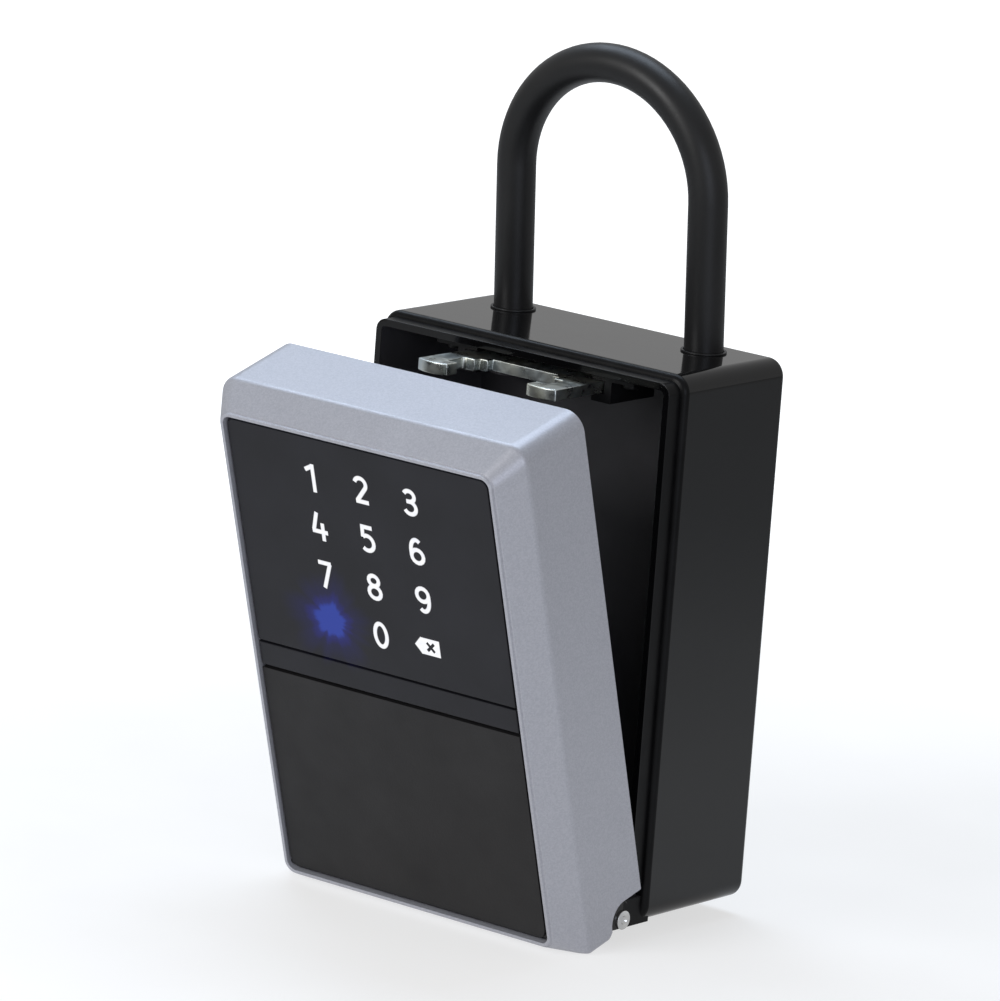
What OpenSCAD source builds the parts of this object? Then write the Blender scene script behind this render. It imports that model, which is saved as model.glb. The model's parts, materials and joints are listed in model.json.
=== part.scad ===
// Key box with an app and keypad lock, hung from a padlock shackle.
// Frame: origin at the centre of the back face, +Z up, +Y out of the back, millimetres.
// The lid group is drawn shut and then swung open about its hinge by lid_open.

/* [Housing] */
// Width of the housing
body_w = 84; // [76:1:100]
// Height of the housing
body_h = 120; // [112:1:140]
// Depth of the housing, from the back face to the parting step
body_d = 35; // [32:1:50]
// Thickness of the housing walls
wall = 3; // [2.6:0.1:3.6]
// Corner radius of the housing outline
corner_r = 4; // [3.6:0.1:6]
// Rounding of the front and back edges
edge_r = 1.4; // [1:0.1:2.4]
// How far the rim lies inside the housing outline
lip_inset = 1.4; // [1.3:0.1:2]
// How far the rim stands out of the parting step
lip_out = 3.9; // [2:0.1:4]

/* [Lid] */
// Angle at which the lid stands open
lid_open = 17; // [5:1:60]
// Depth of the lid, from its back edge to the bead
lid_d = 25.7; // [25:0.1:30]
// Thickness of the lid walls
lid_wall = 2.2; // [1.8:0.1:2.6]
// Radius of the lid's upper corners
lid_corner_r = 4.4; // [4:0.1:4.8]
// Radius of the lid's lower corners
lid_foot_r = 1; // [0.8:0.1:2]
// Depth of the tapered front part of the lid
taper_d = 6.9; // [5:0.1:8]
// Width of the flat between taper and bead
land_w = 0.3; // [0.1:0.1:0.6]
// Gap between lid and housing when shut
part_gap = 0.2; // [0.1:0.05:0.5]
// Depth of the thinner back rim that slips over the housing rim
rim_d = 5; // [4.2:0.1:6]

/* [Front window] */
// Width of the window in the lid
window_w = 73.2; // [66:0.1:74]
// Height of the window in the lid
window_h = 109.8; // [100:0.1:111]
// Corner radius of the window
window_r = 2; // [1:0.1:3]
// Width of the raised bead round the window
bead_w = 0.9; // [0.6:0.1:1.2]
// Height of the raised bead
bead_up = 0.6; // [0.3:0.1:0.7]
// Depth of the bead ahead of the panels
bead_h = 0.8; // [0.3:0.1:1.2]
// Height of the battery cover
battery_cover_h = 49.4; // [44:0.1:52]
// Height of the strip between keypad panel and battery cover
strip_h = 5.8; // [4:0.1:8]
// Thickness of the keypad panel and the strip
panel_t = 2; // [1.8:0.1:2.5]
// Edge thickness of the battery cover
cover_rim_t = 1.9; // [1.6:0.1:2]
// Skin thickness of the battery cover
cover_skin_t = 1; // [0.8:0.1:1.2]
// Gap round each panel
panel_gap = 0.2; // [0.15:0.05:0.4]
// Gap over the battery cover
cover_gap = 0.5; // [0.3:0.1:0.8]
// Distance between keypad columns
key_dx = 13.5; // [11:0.1:15]
// Distance between keypad rows
key_dz = 11.4; // [10:0.1:12]

/* [Hinge] */
// Hinge pin ahead of the parting step
hinge_out = 6.1; // [5.6:0.1:7]
// Hinge pin above the bottom face
hinge_up = 1.9; // [1.7:0.1:2.4]
// Radius of the housing ears round the pin
ear_r = 4.2; // [3.6:0.1:4.4]
// Width of one housing ear
ear_w = 8.6; // [6:0.1:10]
// How far the ears lie inside the side faces
ear_inset = 1.2; // [1:0.1:1.6]
// Width of one lid lug
lug_w = 6.5; // [5:0.1:9]
// Diameter of the hinge pins
pin_d = 3; // [2.5:0.1:3.4]
// Diameter of the pin heads
pin_head_d = 4.2; // [3.6:0.1:5]

/* [Shackle] */
// Distance between the leg centres
shackle_span = 53; // [48:1:58]
// Straight length of the legs above the housing
shackle_rise = 32.5; // [20:0.1:60]
// Forward lean of the legs in degrees
shackle_lean = 4.5; // [0:0.5:5]
// Diameter of the steel core
core_d = 7; // [6:0.1:8]
// Thickness of the black sleeve on the core
sleeve_t = 0.8; // [0.5:0.1:1.2]
// Leg centres ahead of the back face, at the top face
shackle_in = 9.4; // [9:0.1:12]
// Length of leg inside the housing
leg_depth = 12; // [11:0.5:14]

/* [Release fork] */
// Width across the prongs
fork_w = 38; // [34:0.5:40]
// Thickness of the fork plate
fork_t = 2.6; // [2:0.1:2.8]
// Fork top below the top face
fork_drop = 5.2; // [5:0.1:6]
// Fork tips ahead of the parting step
fork_reach = 16; // [15.5:0.1:16.2]
// Width of one prong head
prong_w = 8; // [7.5:0.1:8.2]
// Length of one prong head
head_len = 4.5; // [4:0.1:4.6]
// Length of the notch behind each head
notch_len = 5.6; // [5.6:0.1:6]
// Depth of the notch behind each head
notch_in = 2.9; // [2.9:0.1:3.4]
// Travel of the fork from free to locked
fork_travel = 2.5; // [2:0.1:2.5]

/* [Lock] */
// Pitch radius of the pinion
pitch_r = 3.2; // [3.2:0.1:3.3]
// Width of one bolt tip, front to back
bolt_w = 2.6; // [2:0.1:2.7]
// Thickness of the bolts and the pinion
bolt_t = 2.4; // [2:0.1:2.5]
// Diameter of the gear motor
motor_d = 8; // [7:0.1:8]
// Length of the gear motor
motor_len = 20; // [16:0.5:24]

/* [Electronics] */
// Width of the circuit board
board_w = 62; // [56:1:64]
// Diameter of the battery cell
cell_d = 15.6; // [12:0.1:15.7]
// Length of the battery cell
cell_len = 27; // [20:0.5:34]

/* [Clearances] */
// Gap between pieces that slide or turn past each other
run_gap = 0.3; // [0.2:0.05:0.4]
// Gap under flat sliding faces
slide_gap = 0.1; // [0.05:0.05:0.15]
// Gap round a running pin
pin_gap = 0.05; // [0.03:0.01:0.08]

/* [Hidden] */
$fn = 64;

// Overlap that keeps joined volumes of one solid whole
eps = 0.01;

// Housing planes
half_w = body_w / 2;
half_h = body_h / 2;
step_y = -body_d;
lip_y = step_y - lip_out;
ceiling_z = half_h - wall;

// Hinge places, from the middle of the right side outward
hinge_y = step_y - hinge_out;
hinge_z = -half_h + hinge_up;
ear_x1 = half_w - ear_inset;
ear_x0 = ear_x1 - ear_w;
lug_x1 = ear_x0 - run_gap;
lug_x0 = lug_x1 - lug_w;
rail_x1 = lug_x0 - run_gap;
ear_gap = 0.7;
ear_cut_r = ear_r + ear_gap;
ear_top_z = hinge_z + ear_cut_r;
lug_r = ear_r - 0.6;
pin_head_t = 0.5;

// Lid planes, drawn shut
lid_back_y = step_y - part_gap;
bead_y = lid_back_y - lid_d;
crease_y = bead_y + taper_d;
land_y = bead_y + bead_up;
crease_soft = 1.5;
panel_y = bead_y + bead_h;
ledge_y = crease_y + crease_soft;
rim_y = lid_back_y - rim_d;
lid_in_x = half_w - lid_wall;
lid_in_z = half_h - lid_wall;
rim_gap = 0.4;
rim_wall = lip_inset - rim_gap;
bottom_bevel = 2.3;

// Front panels, from the bottom of the window upward
window_drop = 0.5;
window_z0 = -window_h / 2 - window_drop;
window_z1 = window_z0 + window_h;
panel_w = window_w - 2 * panel_gap;
cover_z0 = window_z0 + panel_gap;
cover_z1 = cover_z0 + battery_cover_h;
strip_z0 = cover_z1 + cover_gap;
strip_z1 = strip_z0 + strip_h;
keypad_z0 = strip_z1 + panel_gap;
keypad_z1 = window_z1 - panel_gap;
cover_axis_y = panel_y + cover_rim_t / 2;
cover_axis_z = cover_z0 + cover_rim_t / 2;
trunnion_d = 1.3;
trunnion_len = 0.8;
trunnion_end_gap = 0.3;
cover_corner_r = window_r + 1.1;
cover_edge_w = 2;
cover_foot_w = 4;
key_drop = 0.35;
key_z0 = (keypad_z0 + keypad_z1) / 2 - 1.5 * key_dz - key_drop;

// Carrier behind the panels
carrier_y0 = panel_y + panel_t;
carrier_t = 2;
carrier_back_y = carrier_y0 + carrier_t;
carrier_wall = 2;
carrier_x = window_w / 2 - panel_gap - carrier_wall;
carrier_flange_t = 0.7;
carrier_flange_y = ledge_y + carrier_flange_t;
board_post_h = 1;
board_y0 = carrier_back_y + board_post_h;
board_t = 1.6;
board_y1 = board_y0 + board_t;
board_z0 = keypad_z0 + 3.5;
board_z1 = keypad_z1 - carrier_wall - 2.2;
light_hole_d = 4;
led_size = 1.8;
led_h = 0.8;
radio_w = 14;
radio_h = 12;
radio_t = 1.4;
radio_in = 4;

// Inner cover and its screws
cover_back_y = rim_y - 0.7;
inner_cover_t = 1.5;
cover_front_y = cover_back_y - inner_cover_t;
inner_cover_gap = 0.4;
inner_cover_z0 = ear_top_z + 3.4;
cover_x = lid_in_x - inner_cover_gap;
cover_top_z = lid_in_z - inner_cover_gap;
screw_d = 2;
screw_head_d = 3.6;
screw_head_t = 1;
screw_gap = 0.1;
boss_r = 2.6;
boss_x = lid_in_x - boss_r + 0.2;
boss_up = 20;
boss_down = 16;
boss_z = [-half_h + boss_up, half_h - boss_down];
boss_hole = 6;
screw_bite = 5;
flange_below = 5;

// Key hook on the inner cover
hook_in = 12.4;
hook_down = 23.4;
hook_base_w = 7;
hook_base_h = 13;
hook_base_t = 1.2;
hook_base_r = 2;
hook_wire = 2.6;
hook_out = 4;
hook_bend = 3;
hook_up = 3;

// Fork, drawn in its free (forward) place
fork_z1 = half_h - fork_drop;
fork_z0 = fork_z1 - fork_t;
fork_tip_y = step_y - fork_reach;
head_back_y = fork_tip_y + head_len;
notch_back_y = head_back_y + notch_len;
fork_web = 4;
fork_base_y = notch_back_y + fork_web;
prong_in = fork_w / 2 - prong_w;
fork_base_x = prong_in - 2;
head_r = 9;
notch_r = 0.8;
leg_y = -shackle_in;
leg_x = shackle_span / 2;
leg_end_z = half_h - leg_depth;
latch_gap = 0.7;
leg_at_fork_y = leg_y + (half_h - fork_z0 - fork_t / 2) * tan(shackle_lean);
arm_y1 = leg_at_fork_y - core_d / 2 - latch_gap;
arm_len = 5.6;
arm_y0 = arm_y1 - arm_len;
arm_x = leg_x + core_d / 2;
guide_y1 = arm_y0 - 0.2;
guide_y0 = step_y + 1;
guide_wall = 2;
guide_flange = 3;
guide_foot = 6;
guide_screw_x = fork_w / 2 + run_gap + guide_wall + guide_foot / 2;
guide_screw_y = [guide_y0 + 3, guide_y1 - 3];
guide_screw_bite = 1.8;

// Shackle
bush_gap = 0.15;
bush_wall = 0.4;
sleeve_d = core_d + 2 * sleeve_t;
bush_bore = sleeve_d + 2 * bush_gap;
bush_d = bush_bore + 2 * bush_wall;
bush_flange_d = bush_d + 0.3;
bush_flange_t = 0.4;
sleeve_z0 = ceiling_z + 0.5;
arch_z = half_h + shackle_rise;
pocket_h = 5;
pocket_wall = 1.5;
pocket_floor = 2;
pocket_web = 4;

// Bolts and pinion in the plane of the fork
pinion_teeth = 10;
tooth_pitch = 2 * PI * pitch_r / pinion_teeth;
tooth_t = 0.4 * tooth_pitch;
tooth_up = 0.5;
tooth_down = 0.65;
bolt_z0 = fork_z0 + (fork_t - bolt_t) / 2;
bolt_z1 = bolt_z0 + bolt_t;
bolt_y0 = head_back_y + fork_travel + (notch_len - fork_travel - bolt_w) / 2;
bolt_y1 = bolt_y0 + bolt_w;
pinion_y = bolt_y1 - 2.25 - pitch_r;
front_rack_y = pinion_y - pitch_r;
back_rack_y = pinion_y + pitch_r;
rack_bar = 1.15;
bolt_tip_x = prong_in - 0.4;
bolt_link_x1 = bolt_tip_x - 3;
bolt_link_x0 = bolt_link_x1 - 2;
shaft_d = 3;
shaft_depth = 3.5;
shelf_t = 2.3;
shelf_z1 = bolt_z0 - slide_gap;
shelf_z0 = shelf_z1 - shelf_t;
keel_w = 0.8;
keel_h = 0.8;
slot_x = fork_w / 2 + 2.3;
slot_z0 = shelf_z0 - 0.4;
cap_t = 1.2;
clip_drop = 3;
cap_z0 = bolt_z1 + slide_gap;
cap_post_x1 = -bolt_link_x0 - 1.4;

// Battery in the lower half of the lid
cell_y = carrier_y0 - 0.6 + cell_d / 2;
cell_z = (cover_z0 + cover_z1) / 2;
tray_wall = 1.2;
tray_floor = 0.5;
tray_back_gap = 0.1;
contact_t = 0.6;
contact_room = 1.4;
contact_w = 8;
contact_h = 10;
contact_tip = 4;
tray_x = cell_len / 2 + contact_room + tray_wall;
tray_z = cell_d / 2 + run_gap + tray_wall;
tray_y0 = carrier_y0 + 0.3;
tray_y1 = cell_y + cell_d / 2 + tray_back_gap + tray_floor;
tray_flange = 3;

// Colours
BLACK = [0.09, 0.09, 0.1];
DARK = [0.16, 0.16, 0.17];
SILVER = [0.66, 0.69, 0.74];
STEEL = [0.75, 0.75, 0.72];
BRASS = [0.72, 0.6, 0.32];
GREEN = [0.1, 0.35, 0.2];

// Rounded rectangle about the origin
module rounded_rect(w, h, r) {
    square([w - 2 * r, h], center = true);
    square([w, h - 2 * r], center = true);
    for (x = [-1, 1], y = [-1, 1])
        translate([x * (w / 2 - r), y * (h / 2 - r)])
            circle(r);
}

// An outline in x and z, made solid from y0 to y1
module along_y(y0, y1) {
    translate([0, y1, 0])
        rotate([90, 0, 0])
            linear_extrude(y1 - y0)
                children();
}

// An outline in y and z, made solid from x0 to x1
module along_x(x0, x1) {
    translate([x0, 0, 0])
        rotate([90, 0, 90])
            linear_extrude(x1 - x0)
                children();
}

// An outline in x and y, made solid from z0 to z1
module along_z(z0, z1) {
    translate([0, 0, z0])
        linear_extrude(z1 - z0)
            children();
}

// A box between two corners
module span(a, b) {
    translate(a)
        cube(b - a);
}

module both_sides() {
    children();
    mirror([1, 0, 0])
        children();
}

// The lid group swung open about the hinge
module on_lid() {
    translate([0, hinge_y, hinge_z])
        rotate([lid_open, 0, 0])
            translate([0, -hinge_y, -hinge_z])
                children();
}

// The shackle group leaned forward about the line where its legs cross the top face
module on_shackle() {
    translate([0, leg_y, half_h])
        rotate([shackle_lean, 0, 0])
            translate([0, -leg_y, -half_h])
                children();
}

// Places of the eleven lit keys and the status light, three columns by four rows
function key_place(col, row) = [(col - 1) * key_dx, key_z0 + row * key_dz];

// Housing: moulded shell, rim, hinge ears and rail, leg pockets

module housing_block() {
    intersection() {
        along_y(step_y, 0)
            rounded_rect(body_w, body_h, corner_r);
        along_z(-half_h, half_h)
            translate([0, step_y / 2])
                rounded_rect(body_w, body_d, edge_r);
        along_x(-half_w, half_w)
            translate([step_y / 2, 0])
                rounded_rect(body_d, body_h, edge_r);
    }
}

// Rim that the lid slips over, open at the hinge
module housing_rim() {
    difference() {
        along_y(lip_y, step_y + edge_r + 1)
            rounded_rect(body_w - 2 * lip_inset, body_h - 2 * lip_inset, corner_r - lip_inset);
        span([-half_w, lip_y - 1, -half_h], [half_w, step_y, ear_top_z + 1.5]);
    }
}

// Side view of an ear or of the rail between the lugs
module ear_outline() {
    intersection() {
        union() {
            translate([hinge_y, hinge_z])
                circle(ear_r);
            translate([hinge_y, -half_h])
                square([hinge_out + wall, hinge_up + ear_r]);
        }
        translate([hinge_y - 2 * ear_r, -half_h])
            square([4 * ear_r + hinge_out, 4 * ear_r]);
    }
}

module leg_pocket() {
    on_shackle()
        translate([leg_x, leg_y, leg_end_z - pocket_floor])
            cylinder(d = core_d + 2 * (run_gap + pocket_wall), h = pocket_h);
    span([leg_x - pocket_web / 2, leg_y, leg_end_z - pocket_floor],
         [leg_x + pocket_web / 2, -wall + eps, leg_end_z - pocket_floor + pocket_h]);
}

module housing() {
    color(BLACK)
    difference() {
        union() {
            difference() {
                union() {
                    housing_block();
                    housing_rim();
                }
                along_y(lip_y - 1, -wall)
                    rounded_rect(body_w - 2 * wall, body_h - 2 * wall, max(corner_r - wall, 0.5));
            }
            both_sides() {
                along_x(ear_x0, ear_x1)
                    ear_outline();
                leg_pocket();
            }
            along_x(-rail_x1, rail_x1)
                ear_outline();
        }
        both_sides() {
            translate([ear_x0 - 1, hinge_y, hinge_z])
                rotate([0, 90, 0])
                    cylinder(d = pin_d, h = ear_w + 2);
            on_shackle() {
                translate([leg_x, leg_y, leg_end_z])
                    cylinder(d = core_d + 2 * run_gap, h = pocket_h);
                bush_barrel(bush_d);
            }
            for (y = guide_screw_y)
                translate([guide_screw_x, y, ceiling_z - 1])
                    cylinder(d = screw_d, h = 1 + guide_screw_bite);
        }
    }
}

// Barrel of a bush, longer than the ceiling is thick
module bush_barrel(d) {
    translate([leg_x, leg_y, ceiling_z - 1])
        cylinder(d = d, h = wall + 3);
}

module shackle_bushes() {
    color(DARK)
    both_sides()
        difference() {
            union() {
                intersection() {
                    on_shackle()
                        bush_barrel(bush_d);
                    span([0, leg_y - bush_d, ceiling_z], [half_w, 0, half_h + eps]);
                }
                translate([leg_x, leg_y, half_h])
                    cylinder(d = bush_flange_d, h = bush_flange_t);
            }
            on_shackle()
                bush_barrel(bush_bore);
        }
}

// Channel under the ceiling that carries one edge of the fork
module guide_outline() {
    difference() {
        union() {
            translate([fork_w / 2 - guide_flange, fork_z0 - guide_wall])
                square([guide_flange + run_gap + guide_wall, ceiling_z - fork_z0 + guide_wall]);
            translate([fork_w / 2, ceiling_z - guide_wall])
                square([run_gap + guide_wall + guide_foot, guide_wall]);
        }
        translate([fork_w / 2 - guide_flange - 1, fork_z0 - slide_gap])
            square([guide_flange + 1 + run_gap, fork_t + 2 * slide_gap]);
    }
}

module fork_guides() {
    color(BLACK)
    both_sides()
        difference() {
            along_y(guide_y0, guide_y1)
                guide_outline();
            for (y = guide_screw_y)
                translate([guide_screw_x, y, ceiling_z - guide_wall - 1])
                    cylinder(d = screw_d, h = guide_wall + 2);
        }
}

module guide_screws() {
    color(BLACK)
    both_sides()
        for (y = guide_screw_y)
            translate([guide_screw_x, y, ceiling_z]) {
                translate([0, 0, -guide_wall])
                    cylinder(d = screw_d, h = guide_wall + guide_screw_bite);
                translate([0, 0, -guide_wall - screw_head_t])
                    cylinder(d = screw_head_d, h = screw_head_t);
            }
}

module hinge_pins() {
    color(STEEL)
    both_sides()
        translate([lug_x0 + 0.5, hinge_y, hinge_z])
            rotate([0, 90, 0]) {
                cylinder(d = pin_d, h = ear_x1 - lug_x0 - 0.5 + eps);
                translate([0, 0, ear_x1 - lug_x0 - 0.5])
                    cylinder(d = pin_head_d, h = pin_head_t);
            }
}

// Release fork: two hooked prongs for the lid bolts, two arms for the shackle legs

module fork_half() {
    translate([0, fork_base_y])
        square([fork_w / 2, arm_y1 - fork_base_y]);
    translate([0, arm_y0])
        square([arm_x, arm_len]);
    difference() {
        union() {
            intersection() {
                translate([prong_in, fork_tip_y])
                    square([prong_w, fork_base_y - fork_tip_y + eps]);
                translate([prong_in + prong_w / 2, fork_tip_y + head_r])
                    circle(head_r);
            }
            translate([fork_base_x, notch_back_y + fork_web / 2])
                square([prong_in - fork_base_x + eps, fork_web / 2 + eps]);
        }
        translate([prong_in, head_back_y + notch_len / 2])
            rounded_rect(2 * notch_in, notch_len, notch_r);
    }
}

module release_fork() {
    color(STEEL)
    along_z(fork_z0, fork_z1) {
        fork_half();
        mirror([1, 0])
            fork_half();
    }
}

// Shackle: hardened core with a black sleeve over everything that shows

module shackle_leg(d, z0) {
    translate([leg_x, leg_y, z0])
        cylinder(d = d, h = arch_z - z0);
}

module shackle_arch(d) {
    translate([0, leg_y, arch_z])
        rotate([90, 0, 0])
            rotate_extrude(angle = 180)
                translate([leg_x, 0])
                    circle(d = d);
}

module shackle_core() {
    color(STEEL)
    difference() {
        on_shackle() {
            both_sides()
                shackle_leg(core_d, leg_end_z + slide_gap);
            shackle_arch(core_d);
        }
        both_sides()
            span([leg_x - core_d, leg_at_fork_y - core_d, fork_z0 - run_gap],
                 [leg_x + core_d, arm_y1 + fork_travel + run_gap, fork_z1 + run_gap]);
    }
}

module shackle_sleeve() {
    color(BLACK)
    on_shackle()
    difference() {
        union() {
            both_sides()
                shackle_leg(sleeve_d, sleeve_z0);
            shackle_arch(sleeve_d);
        }
        both_sides()
            shackle_leg(core_d, sleeve_z0 - 1);
        shackle_arch(core_d);
    }
}

// Lid frame: die-cast ring with a tapered front, bosses and hinge lugs

// Outline of the lid drawn in by inset, its lower corners sharper than its upper ones
module lid_outline(inset) {
    w = body_w - 2 * inset;
    h = body_h - 2 * inset;
    rounded_rect(w, h, lid_corner_r - inset);
    translate([0, -h / 4])
        rounded_rect(w, h / 2, max(lid_foot_r - inset, lid_foot_r / 2));
}

// Thin slice of the tapered front, from the crease (share 0) to the land round the bead (share 1)
module taper_slice(share) {
    edge = bead_w + land_w;
    w = body_w + share * (window_w + 2 * edge - body_w);
    h = body_h + share * (window_h + 2 * edge - body_h);
    top_r = lid_corner_r + share * (window_r + edge - lid_corner_r);
    low_r = lid_foot_r + share * (window_r + edge - lid_foot_r);
    translate([0, -eps, -share * window_drop])
        along_y(0, eps) {
            translate([0, h / 4])
                rounded_rect(w, h / 2, top_r, $fn = 32);
            translate([0, -h / 4])
                rounded_rect(w, h / 2, low_r, $fn = 32);
        }
}

module lid_block() {
    taper_run = crease_y - land_y;
    along_y(ledge_y, lid_back_y)
        lid_outline(0);
    hull() {
        translate([0, ledge_y + 2 * eps, 0])
            taper_slice(0);
        translate([0, crease_y - crease_soft, 0])
            taper_slice(crease_soft / taper_run);
        translate([0, land_y + eps, 0])
            taper_slice(1);
    }
    along_y(bead_y, land_y + eps)
        window_outline(-bead_w);
}

// Side view of what the lid leaves free round the housing ears
module ear_clearance() {
    translate([hinge_y, hinge_z])
        circle(ear_cut_r);
    translate([hinge_y, hinge_z - 2 * ear_r])
        square([hinge_out + 1, 2 * ear_r + ear_cut_r]);
    translate([hinge_y - ear_cut_r, -half_h])
        rotate(45)
            square(bottom_bevel, center = true);
}

// Side view of a lug
module lug_outline() {
    translate([hinge_y, hinge_z])
        circle(lug_r);
    translate([ledge_y, -half_h])
        square([hinge_y - ledge_y, hinge_up + lug_r - 1]);
}

module lid_frame() {
    color(SILVER)
    on_lid()
    difference() {
        union() {
            difference() {
                lid_block();
                along_y(ledge_y, lid_back_y + 1)
                    lid_outline(lid_wall);
                along_y(rim_y, lid_back_y + 1)
                    lid_outline(rim_wall);
                along_y(bead_y - 1, ledge_y + 1)
                    window_outline(0);
                along_x(-half_w - 1, half_w + 1)
                    ear_clearance();
            }
            both_sides() {
                along_x(lug_x0, lug_x1)
                    lug_outline();
                for (z = boss_z)
                    along_y(ledge_y - 1, cover_front_y)
                        translate([boss_x, z])
                            circle(boss_r);
            }
        }
        both_sides() {
            translate([lug_x0 - 1, hinge_y, hinge_z])
                rotate([0, 90, 0])
                    cylinder(d = pin_d + 2 * pin_gap, h = lug_w + 2);
            translate([window_w / 2 - 1, cover_axis_y, cover_axis_z])
                rotate([0, 90, 0])
                    cylinder(d = trunnion_d + 2 * pin_gap, h = 1 - panel_gap + trunnion_len + trunnion_end_gap);
            for (z = boss_z)
                along_y(cover_front_y - boss_hole, cover_front_y + 1)
                    translate([boss_x, z])
                        circle(d = screw_d);
        }
    }
}

// Front panels

// Outline of the window, drawn in by inset
module window_outline(inset) {
    translate([0, (window_z0 + window_z1) / 2])
        rounded_rect(window_w - 2 * inset, window_h - 2 * inset, window_r - inset);
}

module front_plate(z0, z1, t) {
    intersection() {
        along_y(panel_y, panel_y + t)
            window_outline(panel_gap);
        span([-panel_w / 2, panel_y, z0], [panel_w / 2, panel_y + t, z1]);
    }
}

module keypad_panel() {
    color(DARK)
    on_lid()
        front_plate(keypad_z0, keypad_z1, panel_t);
}

module centre_strip() {
    color(DARK)
    on_lid()
        front_plate(strip_z0, strip_z1, panel_t);
}

// Battery cover: thin skin, deeper edge, rolled bottom edge with trunnions
// Outline of the battery cover, with lower corners round enough to turn in the window
module cover_outline() {
    h = cover_z1 - cover_z0 + cover_corner_r;
    translate([0, cover_z0 + h / 2])
        rounded_rect(panel_w, h, cover_corner_r);
}

module battery_cover() {
    color(BLACK)
    on_lid() {
        difference() {
            intersection() {
                along_y(panel_y - 1, panel_y + cover_rim_t + 1)
                    cover_outline();
                union() {
                    span([-panel_w / 2, panel_y, cover_axis_z], [panel_w / 2, panel_y + cover_rim_t, cover_z1]);
                    translate([-panel_w / 2, cover_axis_y, cover_axis_z])
                        rotate([0, 90, 0])
                            cylinder(d = cover_rim_t, h = panel_w);
                }
            }
            span([-panel_w / 2 + cover_edge_w, panel_y + cover_skin_t, cover_z0 + cover_foot_w],
                 [panel_w / 2 - cover_edge_w, panel_y + cover_rim_t + 1, cover_z1 - cover_edge_w]);
        }
        both_sides()
            translate([panel_w / 2 - 1, cover_axis_y, cover_axis_z])
                rotate([0, 90, 0])
                    cylinder(d = trunnion_d, h = 1 + trunnion_len);
    }
}

// Carrier: tray that backs the panels and carries the electronics

// Outline of the lid's cavity less the gap round what lies in it
module cavity_outline() {
    rounded_rect(2 * cover_x, 2 * cover_top_z, lid_corner_r - lid_wall);
}

module panel_carrier() {
    color(BLACK)
    on_lid()
    difference() {
        union() {
            difference() {
                union() {
                    along_y(carrier_y0, carrier_flange_y)
                        window_outline(panel_gap);
                    along_y(ledge_y, carrier_flange_y)
                        cavity_outline();
                }
                span([-carrier_x, carrier_back_y, window_z0 + panel_gap + carrier_wall],
                     [carrier_x, carrier_flange_y + 1, window_z1 - panel_gap - carrier_wall]);
            }
            for (x = [-1, 1], z = [board_z0 + 3, board_z1 - 3])
                translate([x * (board_w / 2 - 3), board_y0, z])
                    rotate([90, 0, 0])
                        cylinder(d = 4, h = board_post_h + eps);
        }
        for (col = [0 : 2], row = [0 : 3])
            translate([key_place(col, row)[0], carrier_back_y + 1, key_place(col, row)[1]])
                rotate([90, 0, 0])
                    cylinder(d = light_hole_d, h = carrier_t + 2);
        span([-tray_x - panel_gap, carrier_y0 - 1, cell_z - tray_z - panel_gap],
             [tray_x + panel_gap, carrier_back_y + 1, cell_z + tray_z + panel_gap]);
        both_sides()
            for (z = boss_z)
                along_y(ledge_y - 1, carrier_flange_y + 1)
                    translate([boss_x, z])
                        circle(boss_r + run_gap);
        span([-half_w, ledge_y - eps, -half_h], [half_w, carrier_flange_y + 1, inner_cover_z0 - flange_below]);
    }
}

// Electronics

module circuit_board() {
    color(GREEN)
    on_lid()
        span([-board_w / 2, board_y0, board_z0], [board_w / 2, board_y1, board_z1]);
}

module led(place) {
    span([place[0] - led_size / 2, board_y0 - led_h, place[1] - led_size / 2],
         [place[0] + led_size / 2, board_y0, place[1] + led_size / 2]);
}

module digit_leds() {
    color("white")
    on_lid() {
        for (col = [0 : 2], row = [1 : 3])
            led(key_place(col, row));
        for (col = [1, 2])
            led(key_place(col, 0));
    }
}

module status_led() {
    color("blue")
    on_lid()
        led(key_place(0, 0));
}

module radio_module() {
    color(STEEL)
    on_lid()
        translate([-board_w / 2 + radio_in, board_y1, board_z0 + radio_in])
            cube([radio_w, radio_t, radio_h]);
}

module battery_tray() {
    color(BLACK)
    on_lid()
    difference() {
        union() {
            span([-tray_x, tray_y0, cell_z - tray_z], [tray_x, tray_y1, cell_z + tray_z]);
            span([-tray_x - tray_flange, carrier_back_y, cell_z - tray_z - tray_flange],
                 [tray_x + tray_flange, carrier_back_y + tray_wall, cell_z + tray_z + tray_flange]);
        }
        span([-tray_x + tray_wall, tray_y0 - 1, cell_z - tray_z + tray_wall],
             [tray_x - tray_wall, tray_y1 - tray_floor, cell_z + tray_z - tray_wall]);
    }
}

module battery_cell() {
    color(BRASS)
    on_lid()
        translate([-cell_len / 2, cell_y, cell_z])
            rotate([0, 90, 0])
                cylinder(d = cell_d, h = cell_len);
}

// Bent spring plates between the cell's ends and the tray
module battery_contacts() {
    color(STEEL)
    on_lid()
        both_sides() {
            translate([cell_len / 2 + contact_room - contact_t, cell_y - contact_w / 2, cell_z - contact_h / 2])
                cube([contact_t, contact_w, contact_h]);
            translate([cell_len / 2, cell_y - contact_tip / 2, cell_z - contact_tip / 2])
                cube([contact_room, contact_tip, contact_tip]);
        }
}

// Lock: a gear motor turns one pinion, whose two racks push the bolts apart

// Outline of a rack tooth that points to +y from its pitch line
module rack_tooth() {
    slope = tan(20);
    polygon([
        [-tooth_t / 2 - slope * tooth_down, -tooth_down - eps],
        [tooth_t / 2 + slope * tooth_down, -tooth_down - eps],
        [tooth_t / 2 - slope * tooth_up, tooth_up],
        [-tooth_t / 2 + slope * tooth_up, tooth_up]
    ]);
}

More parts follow.
